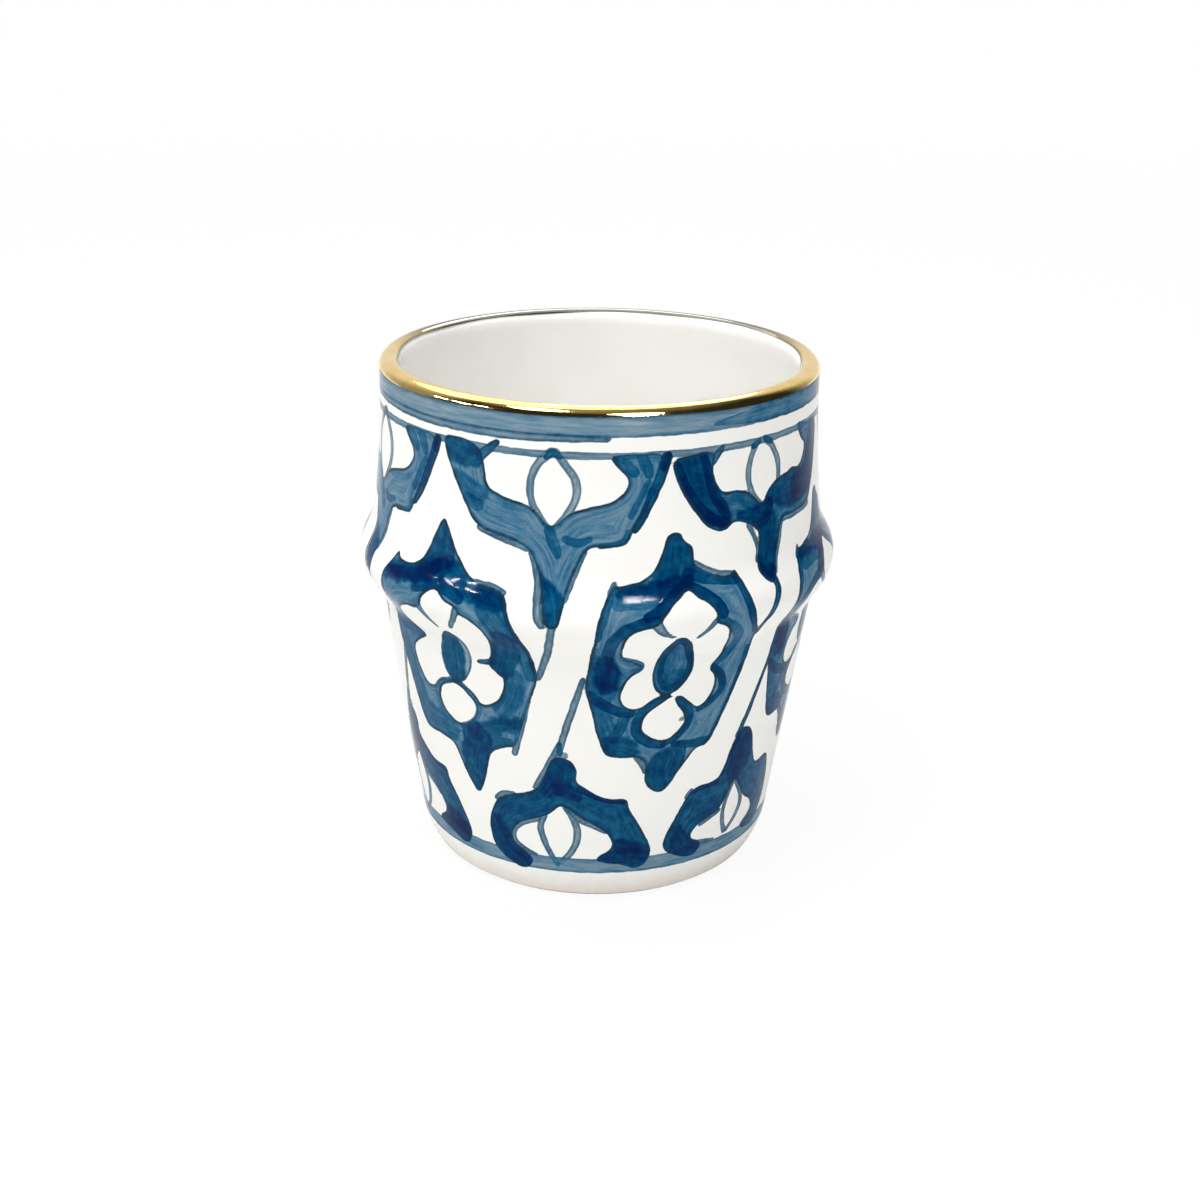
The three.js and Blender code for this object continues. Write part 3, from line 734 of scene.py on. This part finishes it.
class Painting:
    """Strokes and fields laid on the wall in passes, so that no two of one pass touch."""

    def __init__(self, mesh):
        places = vertex_places(mesh) / MM
        angle = np.arctan2(places[:, 0], -places[:, 1])
        self.mesh = mesh
        self.wall = np.stack([angle * WALL_MEAN, places[:, 2]], axis=1)
        self.passes = []
        self.shore = np.tile((FAR_OFF, 0.0, 0.0), (len(places), 1))
        self.count = 0

    def near(self, points, margin):
        """Numbers and places of the vertices round a run of points."""
        low, high = points[:, :2].min(0) - margin, points[:, :2].max(0) + margin
        places = self.wall.copy()
        middle = (low[0] + high[0]) / 2
        places[:, 0] = (places[:, 0] - middle + GIRTH / 2) % GIRTH - GIRTH / 2 + middle
        chosen = np.flatnonzero(((places > low) & (places < high)).all(1))
        return chosen, places[chosen]

    def stroke(self, load, path, trim=None):
        """Lays a stroke, on bare glaze or, with trim, into a field up to its edge."""
        chosen, places = self.near(path, path[:, 2].max() + REACH)
        distance, along, across = measure(path, places)
        if trim is None:
            self.outline(load, chosen, distance)
        else:
            thin = path[:, 2].max() < BROAD
            load = (load[0], DAMP if thin else WET)
            distance = np.maximum(distance, trim[chosen] * TRIM_EDGE)
        self.lay(load, chosen, distance, along, across)

    def field(self, load, outline, holes):
        """Fills an outline and hands back how far each vertex is from its edge."""
        chosen, places = self.near(outline, REACH)
        distance, along, across = measure_field(outline, holes, places)
        self.outline(load, chosen, distance)
        self.lay(load, chosen, distance, along, across)
        reach = np.full(len(self.wall), FAR_OFF)
        reach[chosen] = distance
        return reach

    def outline(self, load, chosen, distance):
        """Keeps how far each vertex is from bare glaze, and the outline that dries there."""
        nearer = distance < self.shore[chosen, 0]
        self.shore[chosen[nearer], 0] = distance[nearer]
        self.shore[chosen[nearer], 1] = load[2]

    def lay(self, load, chosen, distance, along, across):
        """Puts a stroke or a field into the first pass that has room for it."""
        close = distance < REACH
        chosen, distance = chosen[close], distance[close]
        layer = self.free_pass(chosen, distance)
        better = distance < layer["line"][chosen, 0]
        self.count += 1
        seed = self.count * SEED_STEP % 1
        lines = np.stack([distance, along[close], across[close]], axis=1)
        layer["line"][chosen[better]] = lines[better]
        layer["load"][chosen[better]] = (load[0], load[1], seed)

    def free_pass(self, chosen, distance):
        """The first pass with nothing near these vertices, or a new one."""
        touched = chosen[distance < KEEP_APART]
        for layer in self.passes:
            if (layer["line"][touched, 0] > KEEP_APART).all():
                return layer
        size = len(self.wall)
        layer = {"line": np.tile((FAR_OFF, 0.0, 0.0), (size, 1)), "load": np.zeros((size, 3))}
        self.passes.append(layer)
        return layer

    def motif(self, drawing, centre, seed):
        """Paints a drawn motif round a centre."""
        hand = Hand(drawing["drawn_at"], centre, seed)
        trim = np.full(len(self.wall), FAR_OFF)
        for load, outline, holes in drawing["fields"]:
            edge = hand.moved(eased(outline, closed=True))
            gaps = [hand.moved(eased(hole, closed=True)) for hole in holes]
            trim = np.minimum(trim, self.field(load, edge, gaps))
        for load, *points in drawing["inside"]:
            self.stroke(load, hand.moved(eased(points)), trim)
        for load, *points in drawing["free"]:
            self.stroke(load, hand.moved(eased(points)))

    def band(self, height, half, load, drift, seed):
        """Paints a band round the whole wall."""
        random = np.random.default_rng(seed)
        round_wall = np.linspace(-GIRTH / 2, GIRTH / 2, BAND_POINTS)
        angle = round_wall / WALL_MEAN
        path = np.stack([round_wall, np.full_like(angle, height), np.full_like(angle, half)], axis=1)
        for waves in BAND_WAVES:
            swing = drift * random.uniform(-1, 1) / waves
            path[:, 1] += swing * np.cos(waves * angle + random.uniform(0, FULL_TURN))
        self.stroke(load, path)

    def keep(self):
        """Stores the shore, and each pass as two vectors, on the points of the mesh."""
        kept = {"shore": self.shore}
        for number, layer in enumerate(self.passes):
            kept |= {f"{name}_{number}": values for name, values in layer.items()}
        for name, values in kept.items():
            attribute = self.mesh.attributes.new(name, "FLOAT_VECTOR", "POINT")
            attribute.data.foreach_set("vector", values.astype(np.float32).ravel())


def paint_lattice(mesh):
    """Paints the bands and the three rows of motifs, and hands back the number of passes."""
    painting = Painting(mesh)
    for number, band in enumerate(BANDS):
        painting.band(*band, BAND_SEED + number)
    painting.motif(RIM_TOUCHES, RIM_TOUCHES["drawn_at"], 0)
    # Centres, the two drawings, and the numbers of the centres that take the side drawing
    rows = (
        (UPPER_CENTRES, UPPER_FRONT, UPPER_SIDE, (1, 3)),
        (MEDALLION_CENTRES, MEDALLION_FRONT, MEDALLION_SIDE, (2, 5)),
        (LOWER_CENTRES, LOWER_FRONT, LOWER_SIDE, (1, 3)),
    )
    for centres, front, side, sides in rows:
        for number, centre in enumerate(centres):
            painting.motif(side if number in sides else front, centre, number)
    painting.keep()
    return len(painting.passes)


# Finishes. Scales of noise are cells for each millimetre, and bump distances are in millimetres.

GLAZE_IOR = 1.52
WAVE_SCALE, PIT_SCALE, SHINE_SCALE = 0.055, 1.9, 0.21
PIT_DEPTH = 0.03
GLAZE_BUMP = 0.6
INSIDE_GLOSS, OUTSIDE_GLOSS = 0.15, 0.06  # specular levels of the two coats
GLAZE_TINTS = srgb(249, 248, 244), srgb(252, 251, 248)

# Colours by the depth of the paint
PAINT_STOPS = (
    (0.00, srgb(248, 247, 243)),
    (0.12, srgb(190, 202, 209)),
    (0.25, srgb(128, 152, 166)),
    (0.36, srgb(94, 130, 153)),
    (0.46, srgb(64, 112, 143)),
    (0.58, srgb(36, 94, 130)),
    (0.72, srgb(14, 82, 118)),
    (0.88, srgb(1, 64, 104)),
    (1.05, srgb(0, 50, 94)),
    (1.20, srgb(0, 40, 86)),
    (1.40, srgb(0, 29, 76)),
)
DEEPEST = PAINT_STOPS[-1][0]
DRIED_PAINT = srgb(28, 54, 70)
FOOT_TINT, FOOT_TINT_SHARE = srgb(228, 208, 188), 0.35  # clay that shows through the coat above the foot
FOOT_TINT_HEIGHT = 5.0
SHAKE_SCALE, CLOUD_SCALE, DAB_SCALE = 0.5, 0.16, 0.62
WET_BLUR, WET_SWAY = 0.5, 1.8  # half width of an edge painted into a wet field, and how far it strays
DRY_BLUR, DRY_SWAY = 0.07, 0.4  # the same for an edge on dry glaze
LAYING = 2.5  # 1 would add up the colour of passes that overlap, and a high number keeps the deepest one
BRISTLES_ALONG, BRISTLES_ACROSS = 0.16, 1.5  # scale of the bristle marks along a stroke and across it
PALE_STREAKS, DARK_STREAKS = 0.5, 0.3  # contrast of the bristle marks in pale and in dark paint
POOL_START, POOL_END = -0.5, -0.08  # millimetres from a stroke's edge where paint pools
DRIED_START, DRIED_END = -0.72, -0.2  # the same for the outline that dries on bare glaze
CLOUD_SHARE, DAB_SHARE = 0.14, 0.24  # how far clouds and dabs change the depth
PAINT_RELIEF = 0.02

# The last gold is the plain grey that the gilding turns to at its inner edge and inside the back
GOLD_DEEP, GOLD_PALE, GOLD_GREY = srgb(240, 195, 102), srgb(255, 232, 162), srgb(116, 115, 108)
CLAY_DARK, CLAY_PALE, CLAY_SPECK = srgb(196, 164, 134), srgb(222, 200, 174), srgb(142, 98, 70)


def new_finish(name):
    """A new material, with the graph of its nodes and its shader."""
    finish = bpy.data.materials.new(name)
    finish.use_nodes = True
    graph = Graph(finish.node_tree)
    shader = finish.node_tree.nodes["Principled BSDF"]
    return finish, graph, shader


def plug(graph, wire, socket):
    graph.tree.links.new(wire.socket, socket)


def here(graph):
    """Place on the piece in millimetres."""
    place = graph.node("ShaderNodeTexCoord", {}, {}, "Object")
    settings = {"operation": "SCALE"}
    return graph.node("ShaderNodeVectorMath", settings, {0: place, "Scale": 1 / MM})


def glossy_glaze(graph, shader, place, paint=0.0):
    """Gloss of a hand-dipped glaze: slow waves, faint pinholes and a little uneven shine."""
    waves = graph.noise(place, WAVE_SCALE)
    pits = graph.ramp(graph.noise(place, PIT_SCALE, 1.0), 0.74, 0.82)
    relief = waves - pits * PIT_DEPTH + paint
    inputs = {"Strength": 0.35, "Distance": GLAZE_BUMP * MM, "Height": relief}
    plug(graph, graph.node("ShaderNodeBump", {}, inputs), shader.inputs["Normal"])
    plug(graph, 0.03 + 0.05 * graph.noise(place, SHINE_SCALE), shader.inputs["Roughness"])
    shader.inputs["IOR"].default_value = GLAZE_IOR


def white_glaze():
    """The plain coat inside, a little clouded."""
    finish, graph, shader = new_finish("white_glaze")
    place = here(graph)
    cloud = graph.ramp(graph.noise(place, 0.09, 3.0), 0.3, 0.7)
    plug(graph, graph.blend(cloud, *GLAZE_TINTS), shader.inputs["Base Color"])
    glossy_glaze(graph, shader, place)
    shader.inputs["Specular IOR Level"].default_value = INSIDE_GLOSS
    return finish


def laid_paint(graph, number, shake):
    """Depth of the paint that one pass leaves: a film with bristle marks, and more where it pools."""
    distance, along, across = graph.split(graph.attribute(f"line_{number}"))
    tone, pool, seed = graph.split(graph.attribute(f"load_{number}"))
    edge = distance + shake * graph.ramp(pool, WET, DRY, WET_SWAY, DRY_SWAY)
    blur = graph.ramp(pool, WET, DRY, WET_BLUR, DRY_BLUR)
    cover = graph.ramp(edge, blur, 0 - blur)
    hairs = graph.join(along * BRISTLES_ALONG + seed * 40, across * BRISTLES_ACROSS, seed * 9)
    bristle = graph.ramp(graph.noise(hairs, 1.0, 3.0, 0.6), 0.28, 0.72)
    streaks = graph.ramp(tone, 0.45, 0.8, PALE_STREAKS, DARK_STREAKS)
    film = tone * (1 + streaks * (bristle - 0.5))
    return cover * (film + graph.ramp(edge, POOL_START, POOL_END) * pool)


def painted_glaze(passes):
    """The coat outside, with the blue brushed on in passes and outlines that dried on bare glaze."""
    finish, graph, shader = new_finish("painted_glaze")
    place = here(graph)
    shake = graph.noise(place, SHAKE_SCALE, 3.0) - 0.5
    total = 0.0
    for number in range(passes):
        total = total + graph.math("POWER", laid_paint(graph, number, shake), LAYING)
    depth = graph.math("POWER", total, 1 / LAYING)
    cloud = graph.ramp(graph.noise(place, CLOUD_SCALE), 0.3, 0.7)
    dabs = graph.ramp(graph.noise(place, DAB_SCALE, 3.0, 0.6), 0.32, 0.68)
    dabbed = DAB_SHARE * (dabs - 0.5) * graph.ramp(depth, 0.3, 0.55)
    depth = depth * (1 - CLOUD_SHARE / 2 + CLOUD_SHARE * cloud + dabbed)
    stops = [(level / DEEPEST, tint) for level, tint in PAINT_STOPS]
    colour = graph.node("ShaderNodeValToRGB", {"stops": stops}, {0: depth * (1 / DEEPEST)})
    distance, outline, _ = graph.split(graph.attribute("shore"))
    edge = distance + shake * DRY_SWAY
    dried = graph.ramp(edge, DRIED_START, DRIED_END) * graph.ramp(edge, DRY_BLUR, -DRY_BLUR)
    colour = graph.blend(dried * (0.62 + 0.6 * dabs) * outline, colour, DRIED_PAINT)
    foot = graph.ramp(graph.split(place)[2] + shake * 4, FOOT_TINT_HEIGHT, GLAZE_LINE_HEIGHT)
    plug(graph, graph.blend(foot * FOOT_TINT_SHARE, colour, FOOT_TINT), shader.inputs["Base Color"])
    glossy_glaze(graph, shader, place, depth * PAINT_RELIEF)
    shader.inputs["Specular IOR Level"].default_value = OUTSIDE_GLOSS
    return finish


def gilding():
    """Gold lustre, bright on the outside, and grey at its inner edge and inside the back."""
    finish, graph, shader = new_finish("gilding")
    place = here(graph)
    worn = graph.noise(place, 0.35, 3.0)
    gold = graph.blend(worn, GOLD_DEEP, GOLD_PALE)
    across = graph.attribute("across", "Fac")
    back = graph.ramp(graph.split(place)[1], 0, 0.6 * RIM_RADIUS)
    # Share of grey in the gold: inside the back, and along the inner edge all round
    grey_back = back * graph.ramp(across, 0.3, 0.45)
    grey_edge = 0.8 * graph.ramp(across, 0.84, 0.96)
    thin = graph.math("MAXIMUM", grey_back, grey_edge)
    plug(graph, graph.blend(thin, gold, GOLD_GREY), shader.inputs["Base Color"])
    shader.inputs["Metallic"].default_value = 1.0
    plug(graph, 0.03 + 0.08 * worn, shader.inputs["Roughness"])
    bump = graph.node("ShaderNodeBump", {}, {"Strength": 0.3, "Distance": 0.15 * MM, "Height": worn})
    plug(graph, bump, shader.inputs["Normal"])
    return finish


def bare_clay():
    """Fired clay with a fine grain, slow stains and dark specks."""
    finish, graph, shader = new_finish("bare_clay")
    place = here(graph)
    grain = graph.noise(place, 2.4, 4.0, 0.6)
    stain = graph.noise(place, 0.12)
    body = graph.blend(stain, CLAY_DARK, CLAY_PALE)
    speck = graph.ramp(graph.noise(place, 1.3, 1.0), 0.68, 0.76)
    plug(graph, graph.blend(speck * 0.6, body, CLAY_SPECK), shader.inputs["Base Color"])
    plug(graph, 0.75 + 0.2 * grain, shader.inputs["Roughness"])
    bump = graph.node("ShaderNodeBump", {}, {"Strength": 0.5, "Distance": 0.12 * MM, "Height": grain})
    plug(graph, bump, shader.inputs["Normal"])
    return finish


# Pieces

def dress(piece, node):
    """Lets a piece stand for a node of the solids: hides that node and hangs the piece under the root body.
    """
    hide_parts(node)
    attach(piece, "root")


def make_clay():
    recess = FOOT_RADIUS - FOOT_RING_WIDTH
    foot = [(0, FOOT_RECESS_DEPTH), (recess - FOOT_RECESS_TAPER, FOOT_RECESS_DEPTH), (recess, 0),
            (FOOT_RADIUS, 0)]
    run = joined(foot, spaced(outside_run(GLAZE), PLAIN_STEP), spaced(inside_run(GLAZE), PLAIN_STEP))
    piece = turned("clay_foot_and_wall", run, PLAIN_FACETS, bare_clay(), closed=False)
    dress(piece, "clay_body")


def make_inner_glaze():
    coat = spaced(inside_run(0), PLAIN_STEP)
    seat = spaced(inside_run(GLAZE), PLAIN_STEP)[::-1]
    piece = turned("glaze_inside", joined(seat, coat), PLAIN_FACETS, white_glaze(), closed=False)
    dress(piece, "inner_glaze")


def make_outer_glaze():
    coat = spaced(outside_run(0), PAINTED_STEP)
    seat = outside_run(GLAZE)[::-SEAT_SKIP]
    piece = turned("glaze_outside", joined(coat, seat), PAINTED_FACETS, None, closed=True)
    passes = paint_lattice(piece.data)
    piece.data.materials.clear()
    piece.data.materials.append(painted_glaze(passes))
    dress(piece, "outer_glaze")


NARROWED = 20  # degrees of the lip that the gilding loses at the back


def brush_edges(mesh):
    """Lets both edges of the gilding wander, narrows it at the back, and keeps each point's share across."""
    places = vertex_places(mesh) / MM
    turn = np.arctan2(places[:, 0], -places[:, 1])
    centre = np.array([RIM_RADIUS - LIP_ROUND, HEIGHT - LIP_ROUND])
    offset = np.stack([np.hypot(places[:, 0], places[:, 1]), places[:, 2]], axis=1) - centre
    angle = np.arctan2(offset[:, 1], offset[:, 0])
    share = (angle - GILDING_START) / (GILDING_END - GILDING_START)
    dry = np.clip((0.2 - np.cos(turn)) / 0.6, 0, 1)  # 0 in front, 1 at the back
    outer_wander = 3 + 3 * np.sin(3 * turn + 1) + 2 * np.sin(7 * turn)
    inner_wander = 5 * np.sin(2 * turn) + 3 * np.sin(9 * turn + 2)
    start = GILDING_START + np.radians(outer_wander)
    end = GILDING_END + np.radians(inner_wander - NARROWED * dry)
    angle = start + share * (end - start)
    reach = np.linalg.norm(offset, axis=1)
    radius = centre[0] + reach * np.cos(angle)
    height = centre[1] + reach * np.sin(angle)
    moved = np.stack([radius * np.sin(turn), -radius * np.cos(turn), height], axis=1) * MM
    mesh.vertices.foreach_set("co", moved.astype(np.float32).ravel())
    across = mesh.attributes.new("across", "FLOAT", "POINT")
    across.data.foreach_set("value", share.astype(np.float32))
    mesh.update()


def make_gold_rim():
    film = lip_run(GILDING, GILDING_START, GILDING_END)
    seat = lip_run(0, GILDING_START, GILDING_END)[::-1]
    piece = turned("gold_lip", joined(film, seat), PAINTED_FACETS, gilding(), closed=True)
    brush_edges(piece.data)
    dress(piece, "gold_rim")


# Stage, light and camera

CAMERA_PLACE = (0.573, -269.44, 147.29)
CAMERA_DOWN = math.radians(21.506)
CAMERA_ROLL = math.radians(0.755)
FOCAL_PIXELS = 1695.2
PHOTO_PIXELS = 1200
SENSOR = 36.0
NEAREST = 0.01

WHITE = (1, 1, 1, 1)
FLOOR_HALF = 6.0
FLOOR_COLOUR = srgb(240, 240, 239)
FLOOR_IN_GLOSS = (0.05, 0.05, 0.05, 1)  # the floor in front of the cup, as its gloss shows it
ROOM_IN_GLOSS = (0.03, 0.03, 0.03, 1)  # the room in front of the cup, as its gloss shows it
FLOOR_SLANT, ROOM_SLANT = 0.7, 0.3  # how far that darkness turns to the right
WHITE_BY_THE_CUP = 0.93  # share of plain white in the floor by the cup, and the rest takes the shadow
SHADOW_FADE = (0.3, 1.2)  # metres from the cup over which the floor goes to plain white
ROOM_LIGHT, GLOSS_LIGHT = 0.32, 0.85


def make_camera():
    data = bpy.data.cameras.new("camera")
    data.sensor_width = SENSOR
    data.lens = FOCAL_PIXELS / PHOTO_PIXELS * SENSOR
    data.clip_start = NEAREST
    camera = bpy.data.objects.new("camera", data)
    tilt = Matrix.Rotation(math.pi / 2 - CAMERA_DOWN, 4, "X") @ Matrix.Rotation(CAMERA_ROLL, 4, "Z")
    camera.matrix_world = Matrix.Translation(Vector(CAMERA_PLACE) * MM) @ tilt
    bpy.context.scene.collection.objects.link(camera)
    bpy.context.scene.camera = camera


def rays(graph):
    """Shares of the rays that come from the camera, and from gloss or glass."""
    light = graph.node("ShaderNodeLightPath").socket.node
    kinds = ("Is Camera Ray", "Is Glossy Ray", "Is Transmission Ray")
    camera, glossy, through = (Wire(graph, light.outputs[kind]) for kind in kinds)
    return camera, glossy + through


def make_floor():
    """A pale floor that shows white, keeps the shadow of the cup, and is dark in front for the gloss."""
    mesh = bpy.data.meshes.new("floor")
    corners = [(-1, -1), (1, -1), (1, 1), (-1, 1)]
    mesh.from_pydata([(x * FLOOR_HALF, y * FLOOR_HALF, 0) for x, y in corners], [], [(0, 1, 2, 3)])
    floor = bpy.data.objects.new("floor", mesh)
    bpy.context.scene.collection.objects.link(floor)
    finish, graph, shader = new_finish("pale_floor")
    shader.inputs["Base Color"].default_value = FLOOR_COLOUR
    shader.inputs["Roughness"].default_value = 0.7
    shader.inputs["Specular IOR Level"].default_value = 0.1
    camera, gloss = rays(graph)
    place = graph.node("ShaderNodeTexCoord", {}, {}, "Object")
    right, rear, _ = graph.split(place)
    front = graph.ramp(rear - FLOOR_SLANT * right, 0.1, -0.25)
    paper = graph.blend(gloss * front, WHITE, FLOOR_IN_GLOSS)
    glow = graph.node("ShaderNodeEmission", {}, {"Color": paper, "Strength": 1.0})
    away = graph.node("ShaderNodeVectorMath", {"operation": "LENGTH"}, {0: place}, "Value")
    share = (camera + gloss) * graph.ramp(away, *SHADOW_FADE, WHITE_BY_THE_CUP, 1.0)
    lit = Wire(graph, shader.outputs[0])
    mixed = graph.node("ShaderNodeMixShader", {}, {0: share, 1: lit, 2: glow})
    plug(graph, mixed, finish.node_tree.nodes["Material Output"].inputs["Surface"])
    mesh.materials.append(finish)


LIGHT_TARGET = (0, 0, 0.05)
LAMP_DISTANCE = 1.2


def make_lamp(name, bearing, size, power, lights=True, glints=True):
    """An oval lamp that faces the cup. It lights the cup, shows in its gloss, or does both."""
    data = bpy.data.lights.new(name, "AREA")
    data.shape = "ELLIPSE"
    data.size, data.size_y = size
    data.energy = power
    lamp = bpy.data.objects.new(name, data)
    lamp.visible_diffuse = lights
    lamp.visible_glossy = glints
    place = lamp_place(*bearing)
    aim = Vector(LIGHT_TARGET) - place
    lamp.matrix_world = Matrix.Translation(place) @ aim.to_track_quat("-Z", "Y").to_matrix().to_4x4()
    bpy.context.scene.collection.objects.link(lamp)


def lamp_place(azimuth, elevation):
    """Place of a lamp by its bearing from the front, to the right, and its height angle in degrees."""
    azimuth, elevation = math.radians(azimuth), math.radians(elevation)
    level = LAMP_DISTANCE * math.cos(elevation)
    height = LIGHT_TARGET[2] + LAMP_DISTANCE * math.sin(elevation)
    return Vector((level * math.sin(azimuth), -level * math.cos(azimuth), height))


def make_studio():
    """An even room to light the cup, and for the gloss a white back, a dim ceiling and a dark front."""
    world = bpy.data.worlds.new("studio")
    bpy.context.scene.world = world
    world.use_nodes = True
    graph = Graph(world.node_tree)
    right, rear, upward = graph.split(graph.node("ShaderNodeTexCoord", {}, {}, "Generated"))
    ceiling = graph.ramp(upward, 0.65, 0.98) * graph.ramp(right, 0.5, -0.5, 0.2, 0.45)
    aside = graph.math("ABSOLUTE", right)
    back = graph.ramp(rear - ROOM_SLANT * right, 0.05, 0.55) * graph.ramp(aside, 0.5, 0.95, 1.0, 0.35)
    shown = graph.blend(graph.math("MAXIMUM", ceiling, back), ROOM_IN_GLOSS, WHITE)
    soft = graph.node("ShaderNodeBackground", {}, {"Color": WHITE, "Strength": ROOM_LIGHT})
    studio = graph.node("ShaderNodeBackground", {}, {"Color": shown, "Strength": GLOSS_LIGHT})
    white = graph.node("ShaderNodeBackground", {}, {"Color": WHITE, "Strength": 1.0})
    camera, gloss = rays(graph)
    mixed = graph.node("ShaderNodeMixShader", {}, {0: gloss, 1: soft, 2: studio})
    mixed = graph.node("ShaderNodeMixShader", {}, {0: camera, 1: mixed, 2: white})
    plug(graph, mixed, world.node_tree.nodes["World Output"].inputs["Surface"])


def make_light():
    """Lamps by bearing in degrees, size in metres and power in watts, and the room round them."""
    make_lamp("key", (-46, 60), (0.5, 0.4), 6.0)
    make_lamp("front", (22, 44), (0.5, 0.4), 3.2)
    make_lamp("behind", (172, 42), (0.5, 0.4), 2.6)
    make_lamp("overhead", (-95, 79), (0.8, 0.8), 8.6, glints=False)
    make_lamp("panel_behind", (-164, 62), (1.6, 1.3), 7.0, lights=False)
    make_lamp("window_right", (23, 32.8), (0.36, 0.03), 5.0, lights=False)
    make_lamp("pane_left", (-62, 25.2), (0.14, 0.014), 1.7, lights=False)
    make_lamp("pane_far_left", (-75, 23.1), (0.24, 0.01), 2.2, lights=False)
    make_lamp("pane_furthest_left", (-88, 21.0), (0.2, 0.01), 1.9, lights=False)
    make_studio()


make_camera()
make_clay()
make_inner_glaze()
make_outer_glaze()
make_gold_rim()
make_floor()
make_light()
bpy.context.scene.view_settings.view_transform = "Standard"
